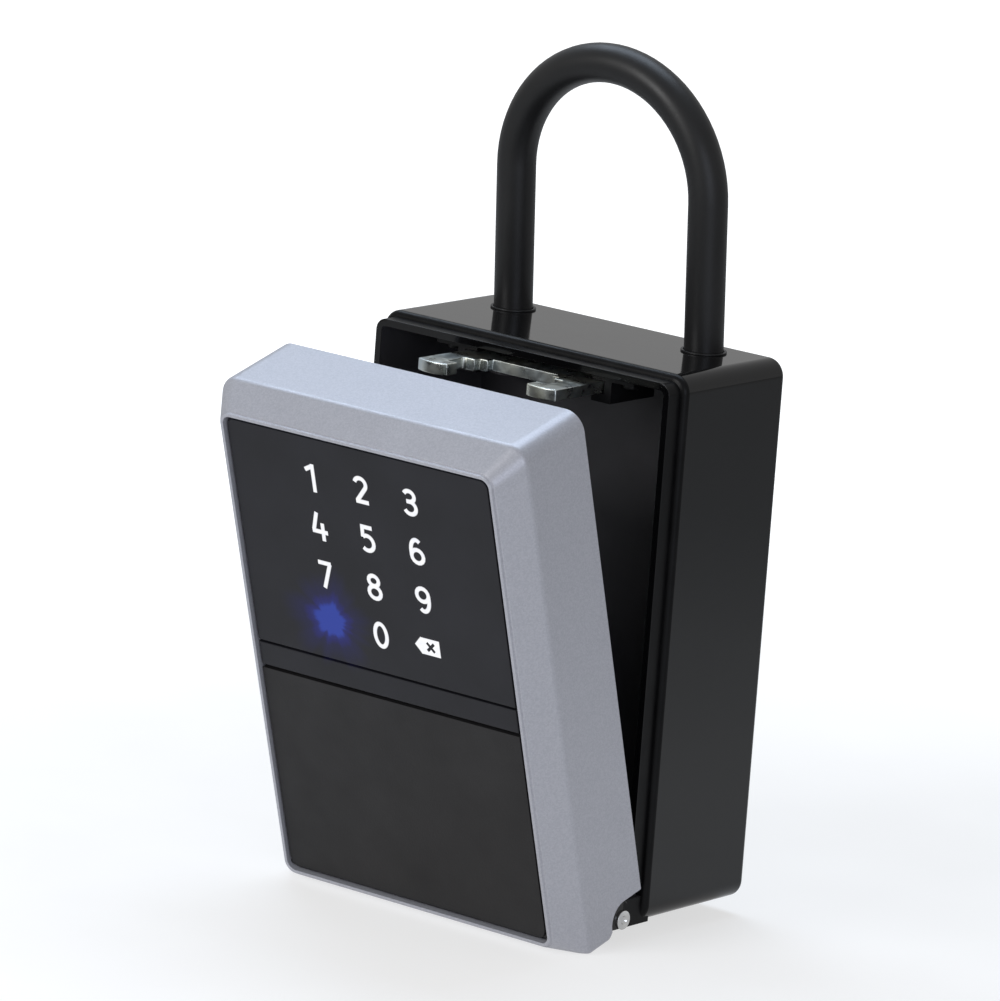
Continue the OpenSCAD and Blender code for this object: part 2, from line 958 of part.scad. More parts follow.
// Rack along x from x0 to x1, its teeth to +y and its pitch line on y = 0
module rack(x0, x1) {
    translate([x0, -tooth_down - rack_bar])
        square([x1 - x0, rack_bar]);
    for (i = [ceil(x0 / tooth_pitch + 0.3) : floor(x1 / tooth_pitch - 0.3) - 1])
        translate([(i + 0.5) * tooth_pitch, 0])
            rack_tooth();
}

module pinion_outline() {
    circle(pitch_r - tooth_down);
    for (i = [0 : pinion_teeth - 1])
        rotate(i * 360 / pinion_teeth)
            translate([0, pitch_r])
                rack_tooth();
}

module lock_pinion() {
    color(BRASS)
    on_lid()
        translate([0, pinion_y, 0]) {
            along_z(bolt_z0, bolt_z1)
                pinion_outline();
            translate([0, 0, shelf_z0 - shaft_depth])
                cylinder(d = shaft_d, h = bolt_z1 - shelf_z0 + shaft_depth);
        }
}

// Tongue under a bolt that runs in a groove of the shelf
module keel(y, x0, x1) {
    span([x0, y - keel_w / 2, bolt_z0 - keel_h], [x1, y + keel_w / 2, bolt_z0 + eps]);
}

front_keel_y = front_rack_y - tooth_down - rack_bar / 2;
back_keel_y = back_rack_y + tooth_down + rack_bar / 2;
rack_in = bolt_link_x0 - 0.5;

module bolt_right() {
    color(STEEL)
    on_lid() {
        along_z(bolt_z0, bolt_z1) {
            translate([0, front_rack_y])
                rack(-rack_in, bolt_link_x1);
            translate([bolt_link_x0, front_rack_y - tooth_down - rack_bar])
                square([bolt_link_x1 - bolt_link_x0, bolt_y1 - front_rack_y + tooth_down + rack_bar]);
            translate([bolt_link_x0, bolt_y0])
                square([bolt_tip_x - bolt_link_x0, bolt_w]);
        }
        keel(front_keel_y, -rack_in, bolt_link_x1);
    }
}

module bolt_left() {
    color(STEEL)
    on_lid() {
        along_z(bolt_z0, bolt_z1) {
            translate([0, back_rack_y])
                mirror([0, 1])
                    rack(-bolt_link_x1, rack_in);
            translate([-bolt_tip_x, bolt_y0])
                square([bolt_tip_x - bolt_link_x0, bolt_w]);
        }
        keel(back_keel_y, -bolt_tip_x + 1, rack_in);
    }
}

// Shelf across the lid that the bolts slide on
module bolt_shelf() {
    color(DARK)
    on_lid()
    difference() {
        union() {
            span([-lid_in_x + 3.6, carrier_flange_y, shelf_z0], [lid_in_x - 3.6, cover_front_y, shelf_z1]);
            span([-slot_x + 0.8, cover_front_y - eps, shelf_z0], [slot_x - 0.8, cover_back_y, shelf_z1]);
            span([-bolt_tip_x, front_rack_y - tooth_down, shelf_z1 - eps],
                 [cap_post_x1, back_rack_y - tooth_up - run_gap, cap_z0]);
        }
        translate([0, pinion_y, shelf_z0 - 1])
            cylinder(r = pitch_r + tooth_up + run_gap, h = shelf_t + 1.2 + bolt_t);
        for (y = [front_keel_y, back_keel_y])
            span([-bolt_tip_x - 4, y - keel_w / 2 - 0.15, bolt_z0 - keel_h - 0.2],
                 [bolt_tip_x + 4, y + keel_w / 2 + 0.15, shelf_z1 + 1.5]);
    }
}

module bolt_cap() {
    color(STEEL)
    on_lid()
        span([-bolt_tip_x, front_rack_y - tooth_down - rack_bar, cap_z0], [bolt_tip_x, bolt_y1, cap_z0 + cap_t]);
}

module lock_motor() {
    can_len = 0.55 * motor_len;
    color(STEEL)
    on_lid()
        translate([0, pinion_y, 0])
            difference() {
                union() {
                    translate([0, 0, shelf_z0 - motor_len])
                        cylinder(d = motor_d - 0.6, h = can_len + eps);
                    translate([0, 0, shelf_z0 - motor_len + can_len])
                        cylinder(d = motor_d, h = motor_len - can_len);
                }
                translate([0, 0, shelf_z0 - shaft_depth - 0.3])
                    cylinder(d = shaft_d + 2 * pin_gap, h = shaft_depth + 1);
            }
}

// Saddle that holds the motor to the inner cover
module motor_clip() {
    clip_t = 1;
    clip_w = 5;
    clip_foot = 4;
    clip_z1 = shelf_z0 - clip_drop;
    clip_in = motor_d / 2 + slide_gap;
    clip_x = clip_in + clip_t;
    color(DARK)
    on_lid()
        along_z(clip_z1 - clip_w, clip_z1)
            difference() {
                union() {
                    translate([0, pinion_y])
                        circle(clip_x);
                    translate([-clip_x, pinion_y])
                        square([2 * clip_x, cover_front_y - pinion_y]);
                    translate([-clip_x - clip_foot, cover_front_y - clip_t])
                        square([2 * (clip_x + clip_foot), clip_t]);
                }
                translate([0, pinion_y])
                    circle(clip_in);
                translate([-clip_in, pinion_y])
                    square([2 * clip_in, cover_front_y - pinion_y + 1]);
            }
}

// Inner cover over the electronics, open where the fork comes in
module inner_cover() {
    color(DARK)
    on_lid()
    difference() {
        along_y(cover_front_y, cover_back_y)
            cavity_outline();
        span([-half_w, cover_front_y - 1, -half_h], [half_w, cover_back_y + 1, inner_cover_z0]);
        span([-slot_x, cover_front_y - 1, slot_z0], [slot_x, cover_back_y + 1, half_h]);
        both_sides()
            for (z = boss_z) {
                along_y(cover_front_y - 1, cover_back_y + 1)
                    translate([boss_x, z])
                        circle(d = screw_d + 2 * screw_gap);
                along_y(cover_back_y - screw_head_t, cover_back_y + 1)
                    translate([boss_x, z])
                        circle(d = screw_head_d + 2 * screw_gap);
            }
    }
}

module cover_screws() {
    color(STEEL)
    on_lid()
        both_sides()
            for (z = boss_z) {
                along_y(cover_front_y - screw_bite, cover_back_y - screw_head_t + eps)
                    translate([boss_x, z])
                        circle(d = screw_d);
                along_y(cover_back_y - screw_head_t, cover_back_y)
                    translate([boss_x, z])
                        circle(d = screw_head_d);
            }
}

// Soft seal on the lid step, facing the housing rim
module lid_seal() {
    seal_w = 1.9;
    seal_out = rim_wall + 0.2;
    seal_y1 = lip_y - run_gap;
    color("black")
    on_lid()
    difference() {
        along_y(rim_y, seal_y1)
            rounded_rect(body_w - 2 * seal_out, body_h - 2 * seal_out, lid_corner_r - seal_out);
        along_y(rim_y - 1, seal_y1 + 1)
            rounded_rect(body_w - 2 * (seal_out + seal_w), body_h - 2 * (seal_out + seal_w), 1.5);
        span([-half_w, rim_y - 1, -half_h], [half_w, seal_y1 + 1, inner_cover_z0]);
    }
}

// Hook for the key ring on the inner cover
module key_hook() {
    hook_x = cover_x - hook_in;
    hook_z = cover_top_z - hook_down;
    color(STEEL)
    on_lid()
        translate([hook_x, cover_back_y, hook_z]) {
            along_y(0, hook_base_t)
                rounded_rect(hook_base_w, hook_base_h, hook_base_r);
            rotate([-90, 0, 0])
                cylinder(d = hook_wire, h = hook_base_t + hook_out);
            translate([0, hook_base_t + hook_out, hook_bend])
                rotate([0, 90, 0])
                    rotate_extrude(angle = 90)
                        translate([hook_bend, 0])
                            circle(d = hook_wire);
            translate([0, hook_base_t + hook_out + hook_bend, hook_bend]) {
                cylinder(d = hook_wire, h = hook_up);
                translate([0, 0, hook_up])
                    sphere(d = hook_wire);
            }
        }
}

housing();
shackle_bushes();
fork_guides();
guide_screws();
hinge_pins();
release_fork();
shackle_core();
shackle_sleeve();
lid_frame();
keypad_panel();
centre_strip();
panel_carrier();
circuit_board();
digit_leds();
status_led();
radio_module();
battery_tray();
battery_cell();
battery_contacts();
bolt_shelf();
bolt_cap();
lock_motor();
motor_clip();
inner_cover();
cover_screws();
lid_seal();
key_hook();
battery_cover();
lock_pinion();
bolt_left();
bolt_right();
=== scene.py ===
import json
import math

import bmesh
import bpy
from mathutils import Matrix, Quaternion, Vector


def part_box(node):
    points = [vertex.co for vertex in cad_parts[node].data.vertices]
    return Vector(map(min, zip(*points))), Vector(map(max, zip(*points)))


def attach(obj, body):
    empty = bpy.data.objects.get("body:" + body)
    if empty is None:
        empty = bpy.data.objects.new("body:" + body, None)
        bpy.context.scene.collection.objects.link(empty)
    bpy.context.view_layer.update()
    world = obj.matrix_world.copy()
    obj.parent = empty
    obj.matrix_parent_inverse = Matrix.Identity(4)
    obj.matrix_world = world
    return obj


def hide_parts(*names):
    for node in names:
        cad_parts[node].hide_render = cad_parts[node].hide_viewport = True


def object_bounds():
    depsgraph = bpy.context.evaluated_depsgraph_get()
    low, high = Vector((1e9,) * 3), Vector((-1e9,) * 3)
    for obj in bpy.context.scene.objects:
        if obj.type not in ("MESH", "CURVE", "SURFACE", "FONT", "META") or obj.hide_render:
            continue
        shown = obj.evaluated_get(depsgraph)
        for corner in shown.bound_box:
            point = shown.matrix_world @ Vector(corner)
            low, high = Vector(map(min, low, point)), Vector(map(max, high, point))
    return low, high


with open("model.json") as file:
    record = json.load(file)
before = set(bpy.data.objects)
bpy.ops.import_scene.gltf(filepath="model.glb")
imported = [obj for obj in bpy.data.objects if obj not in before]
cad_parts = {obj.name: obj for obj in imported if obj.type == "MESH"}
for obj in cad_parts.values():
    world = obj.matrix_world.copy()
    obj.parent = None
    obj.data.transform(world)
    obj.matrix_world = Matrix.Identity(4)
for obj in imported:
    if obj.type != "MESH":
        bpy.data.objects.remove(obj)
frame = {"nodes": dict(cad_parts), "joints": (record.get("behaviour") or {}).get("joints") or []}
cad_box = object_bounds()

# Sizes in millimetres, in the frame of the solids: origin at the centre of the back face, lid drawn shut
MM = 0.001
joints = {joint["name"]: joint for joint in frame["joints"]}
HALF_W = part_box("housing")[1].x / MM
HALF_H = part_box("housing")[1].z / MM
HINGE = Vector(joints["lid_hinge"]["pos_m"]) / MM
LID_OPEN = -joints["lid_hinge"]["range_deg"][0]
LIFT = Vector(joints["shackle_lift"]["axis"])
LEAN = math.degrees(math.atan2(-LIFT.y, LIFT.z))

# Housing
STEP_Y = -35.0
LIP_Y = -38.9
WALL = 3.0
CORNER_R = 4.0
EDGE_R = 1.4
RIM_EDGE = 0.4
RIM_OPEN_Z = -51.7
HOUSING_EASE = 0.2

# Hinge: ears and rail on the housing, lugs on the lid
EAR_R = 4.2
EAR_X = (32.2, 40.8)
LUG_X = (25.4, 31.9)
LUG_R = 3.6
RAIL_X = 25.1
EAR_CUT_R = 4.9
PIN_R = 1.5
PIN_HEAD_R = 2.1
PIN_HEAD_T = 0.5
PIN_DOME = 0.4
PIN_FLAT = 1.1
PIN_DIMPLE = (0.35, 0.3)
CUT_BEVEL = 2.3
LUG_ROOT = 0.2
LUG_DROP = 1.0

# Lid
LID_BACK_Y = -35.2
CREASE_Y = -54.0
LAND_Y = -60.3
BEAD_Y = -60.9
LEDGE_Y = -52.5
LID_RIM_Y = -40.2
LID_CORNER_R = 4.4
LID_FOOT_R = 1.0
LAND_W = 0.3
CREASE_SOFT = 0.7
BEAD_SOFT = 0.3
LAND_SOFT = 0.1
LID_EASE = 0.18
LID_RIM_WALL = 1.0
LID_WALL = 2.2
CORNER_STEPS = 12
WINDOW = (73.2, 109.8)
WINDOW_Z = -0.5
WINDOW_R = 2.0
BEAD_W = 0.9
BEAD_SLOPE = 0.15
BOSS_Z = (-40.0, 44.0)
BOSS_X = 37.4
BOSS_R = 2.6
COVER_FRONT_Y = -42.4

# Front panels
PANEL_Y = -60.1
PANEL_X = (-36.1, 35.5)
PANEL_T = 2.0
KEYPAD_Z = (0.8, 53.6)
STRIP_Z = (-5.2, 0.3)
COVER_Z = (-55.2, -5.95)
COVER_T = 1.9
COVER_SKIN = 1.0
COVER_EDGE = 2.0
COVER_CORNER_R = 3.1
COVER_EASE = 0.15
TRUNNION_R = 0.65
TRUNNION_X = 37.2
PANEL_CORNER_R = 1.8
PANEL_EDGE = 0.22

# Keypad
KEY_DX = 13.5
KEY_DZ = 11.4
KEY_Z0 = 10.0
DIGIT_H = 6.6
STROKE = 1.2
GUIDE_UP = 0.05
GLOW = Vector((-13.9, 0, 10.4))
GLOW_R = 4.8

# Shackle
LEG_X = 26.5
LEG_Y = -9.4
SLEEVE_R = 4.3
SLEEVE_EDGE = 0.2
SLEEVE_BORE = 2.0
CORE_R = 3.5
SLEEVE_Z0 = 57.5
ARCH_Z = 92.5
BUSH_R = 4.85
POCKET_Z = (46.0, 51.0)
POCKET_R = 5.3
POCKET_BORE_R = 3.8
POCKET_WEB = 2.0
WEB_ROOT = 0.1
LEG_END_Z = 48.0

# Modelling: how far a cutting tool reaches past what it cuts, and how close points are when they are merged
PAST = 1.0
SAME_POINT = 0.001
EASED_POINT = 0.002
SLIVER = 0.03
EASE_ANGLE = 40


# Modelling helpers, all in millimetres

def alone(piece):
    """Makes a piece the only selected one, in object mode."""
    if bpy.context.mode != "OBJECT":
        bpy.ops.object.mode_set(mode="OBJECT")
    bpy.ops.object.select_all(action="DESELECT")
    if piece:
        piece.select_set(True)
        bpy.context.view_layer.objects.active = piece
    return piece


def settle(name):
    """Names the new primitive and puts its place into its mesh."""
    piece = bpy.context.object
    piece.name = name
    bpy.ops.object.transform_apply(location=True, rotation=True, scale=True)
    return piece


def block(name, low, high):
    """A cube between two corners, to be shaped."""
    low, high = Vector(low), Vector(high)
    alone(None)
    bpy.ops.mesh.primitive_cube_add(size=MM, location=(low + high) / 2 * MM)
    bpy.context.object.scale = high - low
    return settle(name)


def rod(name, start, end, radius, sides=64):
    """A cylinder between two points, to be shaped."""
    start, end = Vector(start), Vector(end)
    turn = (end - start).to_track_quat("Z", "Y").to_euler()
    alone(None)
    bpy.ops.mesh.primitive_cylinder_add(vertices=sides, radius=radius * MM, depth=(end - start).length * MM,
                                        location=(start + end) / 2 * MM, rotation=turn)
    return settle(name)


def choose(piece, kind, test):
    """Goes into edit mode with only the faces, edges or points that pass the test selected."""
    alone(piece)
    bpy.ops.object.mode_set(mode="EDIT")
    bpy.ops.mesh.select_mode(type=kind)
    bpy.ops.mesh.select_all(action="DESELECT")
    mesh = bmesh.from_edit_mesh(piece.data)
    for item in {"FACE": mesh.faces, "EDGE": mesh.edges, "VERT": mesh.verts}[kind]:
        if test(item):
            item.select_set(True)
    bmesh.update_edit_mesh(piece.data)


def near(a, b):
    return abs(a - b) < 0.005


def at_depth(depth):
    """A test for edges or faces that lie whole at one depth."""
    return lambda item: all(near(corner.co.y / MM, depth) for corner in item.verts)


def at_height(height):
    """A test for edges or faces that lie whole at one height."""
    return lambda item: all(near(corner.co.z / MM, height) for corner in item.verts)


def at_side(across):
    """A test for edges or faces that lie whole at one distance from the middle."""
    return lambda item: all(near(corner.co.x / MM, across) for corner in item.verts)


def along_depth(edge):
    a, b = (corner.co / MM for corner in edge.verts)
    return near(a.x, b.x) and near(a.z, b.z)


def inset(thickness, rise=0):
    bpy.ops.mesh.inset(thickness=thickness * MM, depth=rise * MM)


def extrude(x, y, z):
    bpy.ops.mesh.extrude_region_move(TRANSFORM_OT_translate={"value": (x * MM, y * MM, z * MM)})


def bevel(width, segments):
    bpy.ops.mesh.bevel(offset=width * MM, segments=segments, affect="EDGES", clamp_overlap=True)


def modify(piece, kind, **settings):
    """Adds a modifier with these settings and applies it."""
    alone(piece)
    modifier = piece.modifiers.new(kind.lower(), kind)
    for name, value in settings.items():
        setattr(modifier, name, value)
    bpy.ops.object.modifier_apply(modifier=modifier.name)
    return piece


def merge(piece, distance=SAME_POINT):
    """Joins the points of a piece that are closer than a distance, and stays in edit mode."""
    choose(piece, "VERT", lambda corner: True)
    bpy.ops.mesh.remove_doubles(threshold=distance * MM)


def carve(piece, tool, operation="DIFFERENCE"):
    """Cuts a tool out of a piece, or joins it on, and throws the tool away."""
    modify(piece, "BOOLEAN", operation=operation, solver="EXACT", object=tool)
    bpy.data.objects.remove(tool)


def ease(piece, width):
    """Rounds every sharp edge."""
    return modify(piece, "BEVEL", width=width * MM, segments=2, limit_method="ANGLE",
                  angle_limit=math.radians(EASE_ANGLE), miter_outer="MITER_ARC")


def turn_about(piece, pivot, degrees):
    """Turns a piece about a line through the pivot across the box."""
    alone(piece)
    there = Matrix.Translation(Vector(pivot) * MM)
    piece.matrix_world = there @ Matrix.Rotation(math.radians(degrees), 4, "X") @ there.inverted()
    bpy.ops.object.transform_apply(location=True, rotation=True, scale=True)
    return piece


def swing(piece):
    """Turns a piece that was modelled with the lid shut to where the lid stands open."""
    return turn_about(piece, HINGE, LID_OPEN)


def lean(piece):
    """Leans a piece that was modelled upright as the shackle leans."""
    return turn_about(piece, (0, LEG_Y, HALF_H), LEAN)


def softened(node, name, width):
    """A copy of a solid with its edges rounded, as a pressed or moulded piece has them."""
    piece = bpy.data.objects.new(name, frame["nodes"][node].data.copy())
    bpy.context.scene.collection.objects.link(piece)
    merge(piece)
    bpy.ops.mesh.dissolve_limited(angle_limit=math.radians(1))
    return ease(piece, width)


def place(piece, body, slot, material, *nodes, angle=35):
    """Gives a finished piece its smoothing, material and body, and hides the nodes that it stands for. The slot is
    not used.
    """
    alone(piece)
    bpy.ops.object.shade_smooth_by_angle(angle=math.radians(angle))
    modify(piece, "WEIGHTED_NORMAL", keep_sharp=True)
    piece.data.materials.clear()
    piece.data.materials.append(material)
    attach(piece, body)
    if nodes:
        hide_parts(*nodes)


# Materials

def colour(code):
    """A linear colour from an sRGB hex code."""
    parts = [int(code[i:i + 2], 16) / 255 for i in (0, 2, 4)]
    return (*[p / 12.92 if p <= 0.04045 else ((p + 0.055) / 1.055) ** 2.4 for p in parts], 1)


def add(tree, kind, inputs=None, **settings):
    """Adds a node with its settings, and fills its inputs with values or with other nodes' sockets."""
    made = tree.nodes.new("ShaderNode" + kind)
    for name, value in settings.items():
        setattr(made, name, value)
    for name, value in (inputs or {}).items():
        if isinstance(value, bpy.types.NodeSocket):
            tree.links.new(value, made.inputs[name])
        else:
            made.inputs[name].default_value = value
    return made


def new_material(name, **inputs):
    """A material with its shader, and the object coordinates for its patterns."""
    material = bpy.data.materials.new(name)
    material.use_nodes = True
    tree = material.node_tree
    tree.nodes.clear()
    surface = add(tree, "BsdfPrincipled", {key.replace("_", " "): value for key, value in inputs.items()})
    add(tree, "OutputMaterial", {"Surface": surface.outputs[0]})
    return material, tree, surface, add(tree, "TexCoord").outputs["Object"]


def per_metre(size):
    """Pattern scale for a feature of this size in millimetres."""
    return 1 / (size * MM)


def vary(tree, place_socket, size, low, high, detail=2.0):
    """A number that wanders between low and high over a size in millimetres."""
    noise = add(tree, "TexNoise", {"Vector": place_socket, "Scale": per_metre(size), "Detail": detail})
    return add(tree, "MapRange", {"Value": noise.outputs["Fac"], "From Min": 0.3, "From Max": 0.7,
                                  "To Min": low, "To Max": high}).outputs["Result"]


def tint(tree, factor, dark, light):
    """A colour between two hex codes."""
    return add(tree, "Mix", {"Factor": factor, "A": colour(dark), "B": colour(light)},
               data_type="RGBA").outputs["Result"]


def relief(tree, surface, height, depth):
    """Feeds a height to the shader as relief of a depth in millimetres."""
    bump = add(tree, "Bump", {"Height": height, "Distance": depth * MM, "Strength": 1.0})
    tree.links.new(bump.outputs["Normal"], surface.inputs["Normal"])


def gloss_black_enamel():
    # Stoved enamel on a die casting: deep black, mirror-like, with the faint waves of sprayed paint
    material, tree, surface, where = new_material("gloss_black_enamel", IOR=1.5, Specular_IOR_Level=0.35)
    smudge = vary(tree, where, 30, 0.0, 1.0)
    tree.links.new(tint(tree, smudge, "070708", "0c0c0d"), surface.inputs["Base Color"])
    tree.links.new(vary(tree, where, 18, 0.05, 0.11), surface.inputs["Roughness"])
    relief(tree, surface, vary(tree, where, 3.5, 0.0, 1.0), 0.003)
    return material


def cavity_coat_with_painted_reflection():
    # Thin satin coat inside the casting, greyer than the enamel outside: the lighter grey is partly painted light,
    # standing in for light reflected onto the inside walls, and the lamps still light and shade it
    material, tree, surface, where = new_material("cavity_coat_with_painted_reflection", IOR=1.5, Specular_IOR_Level=0.4)
    tree.links.new(tint(tree, vary(tree, where, 12, 0.0, 1.0), "3c3b3e", "444346"), surface.inputs["Base Color"])
    tree.links.new(vary(tree, where, 10, 0.28, 0.36), surface.inputs["Roughness"])
    relief(tree, surface, vary(tree, where, 1.5, 0.0, 1.0), 0.004)
    return material


def matt_black_primer():
    # Primer on the lip and the edge behind it, masked from the enamel so that the lid still closes: matt, no mirror
    material, tree, surface, where = new_material("matt_black_primer", IOR=1.5, Specular_IOR_Level=0.12)
    tree.links.new(tint(tree, vary(tree, where, 8, 0.0, 1.0), "09090a", "0f0f10"), surface.inputs["Base Color"])
    tree.links.new(vary(tree, where, 4, 0.3, 0.4), surface.inputs["Roughness"])
    relief(tree, surface, vary(tree, where, 0.8, 0.0, 1.0), 0.004)
    return material


def silver_flake_paint():
    # Fine metallic paint on a die casting: satin, with tiny flakes that catch the light one by one
    material, tree, surface, where = new_material("silver_flake_paint", Metallic=0.35, IOR=1.5)
    # Flakes are really some 0.05 mm, drawn at 0.3 mm so that they show
    flakes = add(tree, "TexVoronoi", {"Vector": where, "Scale": per_metre(0.3)})
    sparkle = add(tree, "SeparateColor", {"Color": flakes.outputs["Color"]}).outputs["Red"]
    tree.links.new(tint(tree, sparkle, "a6a7af", "b2b3ba"), surface.inputs["Base Color"])
    tree.links.new(vary(tree, where, 12, 0.38, 0.46), surface.inputs["Roughness"])
    relief(tree, surface, sparkle, 0.0015)
    return material


def with_lid_shut(tree, where):
    """A place on the open lid, turned back to where it is with the lid shut."""
    shut = Matrix.Rotation(math.radians(-LID_OPEN), 3, "X")
    return add(tree, "Mapping", {"Vector": where, "Location": (HINGE - shut @ HINGE) * MM,
                                 "Rotation": shut.to_euler()}).outputs["Vector"]


def status_glow(tree, where):
    """How strongly the status light shows through the window: a ragged core, and all of it with a halo and rays."""
    shut = with_lid_shut(tree, where)
    away = add(tree, "VectorMath", {0: shut, 1: GLOW * MM}, operation="SUBTRACT").outputs["Vector"]
    away = add(tree, "VectorMath", {0: away, 1: (1, 0, 1)}, operation="MULTIPLY").outputs["Vector"]
    heading = add(tree, "VectorMath", {0: away}, operation="NORMALIZE").outputs["Vector"]
    distance = add(tree, "VectorMath", {0: away}, operation="LENGTH").outputs["Value"]
    ragged = add(tree, "TexNoise", {"Vector": heading, "Scale": 2.6, "Detail": 1.5}).outputs["Fac"]
    edge = add(tree, "MapRange", {"Value": ragged, "From Min": 0.35, "From Max": 0.65,
                                  "To Min": 0.85 * GLOW_R * MM, "To Max": 1.2 * GLOW_R * MM}).outputs["Result"]
    share = add(tree, "Math", {0: distance, 1: edge}, operation="DIVIDE").outputs[0]
    # Share of the radius and strength at the inner and the outer end of the core, the halo and the rays
    core, halo, rays = (add(tree, "MapRange", {"Value": share, "From Min": inner, "From Max": outer, "To Min": level,
                                               "To Max": 0.0}, interpolation_type="SMOOTHSTEP").outputs["Result"]
                        for inner, outer, level in ((0.65, 1.1, 1.0), (0.9, 1.6, 0.4), (1.0, 2.6, 0.14)))
    spread = add(tree, "Math", {0: halo, 1: rays}, operation="MAXIMUM").outputs[0]
    return core, add(tree, "Math", {0: core, 1: spread}, operation="MAXIMUM").outputs[0]


def smoked_polycarbonate():
    # Smoked window over the lights: dark grey, semi-gloss, with the status light shining through
    material, tree, surface, where = new_material("smoked_polycarbonate", IOR=1.58, Specular_IOR_Level=0.2)
    core, glow = status_glow(tree, where)
    tree.links.new(tint(tree, core, "10108c", "1c3494"), surface.inputs["Emission Color"])
    tree.links.new(glow, surface.inputs["Emission Strength"])
    tree.links.new(tint(tree, vary(tree, where, 14, 0.0, 1.0), "1b1b1f", "202025"), surface.inputs["Base Color"])
    tree.links.new(vary(tree, where, 20, 0.28, 0.36), surface.inputs["Roughness"])
    relief(tree, surface, vary(tree, where, 0.5, 0.0, 1.0), 0.001)
    return material


def textured_black_abs():
    # Black ABS from a spark-eroded mould: fine even grain that takes the shine away
    material, tree, surface, where = new_material("textured_black_abs", IOR=1.54, Specular_IOR_Level=0.25)
    tree.links.new(tint(tree, vary(tree, where, 20, 0.0, 1.0), "1c1b1c", "232223"), surface.inputs["Base Color"])
    tree.links.new(vary(tree, where, 6, 0.42, 0.52), surface.inputs["Roughness"])
    relief(tree, surface, vary(tree, where, 0.45, 0.0, 1.0, 3.0), 0.012)
    return material


def satin_black_nylon():
    # Nylon sleeve on the shackle: satin black with soft broad highlights and faint extrusion waves
    material, tree, surface, where = new_material("satin_black_nylon", IOR=1.53, Specular_IOR_Level=0.3)
    tree.links.new(tint(tree, vary(tree, where, 15, 0.0, 1.0), "101011", "161617"), surface.inputs["Base Color"])
    tree.links.new(vary(tree, where, 9, 0.38, 0.46), surface.inputs["Roughness"])
    relief(tree, surface, vary(tree, where, 0.6, 0.0, 1.0), 0.006)
    return material


def bright_zinc_plate():
    # Zinc-plated steel with a thin passivation: bright, with cloudy yellow and blue tints and fine rolling lines
    material, tree, surface, where = new_material("bright_zinc_plate", Metallic=1.0)
    tree.links.new(tint(tree, vary(tree, where, 7, 0.0, 1.0), "c6cfd2", "d6d6c8"), surface.inputs["Base Color"])
    tree.links.new(vary(tree, where, 2.5, 0.24, 0.4), surface.inputs["Roughness"])
    lines = add(tree, "Mapping", {"Vector": where, "Scale": (1.0, 0.08, 1.0)}).outputs["Vector"]
    relief(tree, surface, vary(tree, lines, 0.35, 0.0, 1.0), 0.006)
    return material


def polished_steel():
    # Turned and polished steel: mirror-bright with faint turning marks
    material, tree, surface, where = new_material("polished_steel", Metallic=1.0)
    tree.links.new(tint(tree, vary(tree, where, 3, 0.0, 1.0), "c4c5c6", "dcdcda"), surface.inputs["Base Color"])
    tree.links.new(vary(tree, where, 1.2, 0.1, 0.2), surface.inputs["Roughness"])
    return material


def hardened_steel():
    # Heat-treated steel bar: grey, slightly mottled, ground finish
    material, tree, surface, where = new_material("hardened_steel", Metallic=1.0)
    tree.links.new(tint(tree, vary(tree, where, 4, 0.0, 1.0), "8f9092", "a9a9a8"), surface.inputs["Base Color"])
    tree.links.new(vary(tree, where, 1.5, 0.22, 0.36), surface.inputs["Roughness"])
    return material


def black_oxide():
    # Blackened pressed steel: oily black with a dull grey sheen
    material, tree, surface, where = new_material("black_oxide_steel", IOR=1.5, Specular_IOR_Level=0.2)
    tree.links.new(tint(tree, vary(tree, where, 4, 0.0, 1.0), "0d0d0e", "161617"), surface.inputs["Base Color"])
    tree.links.new(vary(tree, where, 1.5, 0.35, 0.5), surface.inputs["Roughness"])
    return material


def black_rubber():
    # Moulded silicone seal: matt black with a dusty bloom
    material, tree, surface, where = new_material("black_rubber", IOR=1.45)
    tree.links.new(tint(tree, vary(tree, where, 5, 0.0, 1.0), "121212", "1b1b1c"), surface.inputs["Base Color"])
    tree.links.new(vary(tree, where, 3, 0.65, 0.8), surface.inputs["Roughness"])
    return material


def green_solder_mask():
    # Glass-fibre board under green lacquer: darker where the copper tracks run below
    material, tree, surface, where = new_material("green_solder_mask", IOR=1.5)
    tracks = add(tree, "TexBrick", {"Vector": where, "Scale": per_metre(6), "Color1": colour("0e4a2a"),
                                    "Color2": colour("0b3f24"), "Mortar": colour("1d6b3c")})
    tree.links.new(tracks.outputs["Color"], surface.inputs["Base Color"])
    tree.links.new(vary(tree, where, 4, 0.25, 0.4), surface.inputs["Roughness"])
    return material


def brass(name, dark, light):
    # Machined brass or a gilt steel can: warm metal with cloudy tarnish
    material, tree, surface, where = new_material(name, Metallic=1.0)
    tree.links.new(tint(tree, vary(tree, where, 5, 0.0, 1.0), dark, light), surface.inputs["Base Color"])
    tree.links.new(vary(tree, where, 2, 0.22, 0.36), surface.inputs["Roughness"])
    return material


def lit_lens(name, shade, dark, light):
    # Moulded light guide with a diode behind it: even light with a slightly brighter grain
    material, tree, surface, where = new_material(name, IOR=1.5, Roughness=0.4, Base_Color=colour(shade),
                                                  Emission_Strength=1.0)
    tree.links.new(tint(tree, vary(tree, where, 0.8, 0.0, 1.0), dark, light), surface.inputs["Emission Color"])
    return material


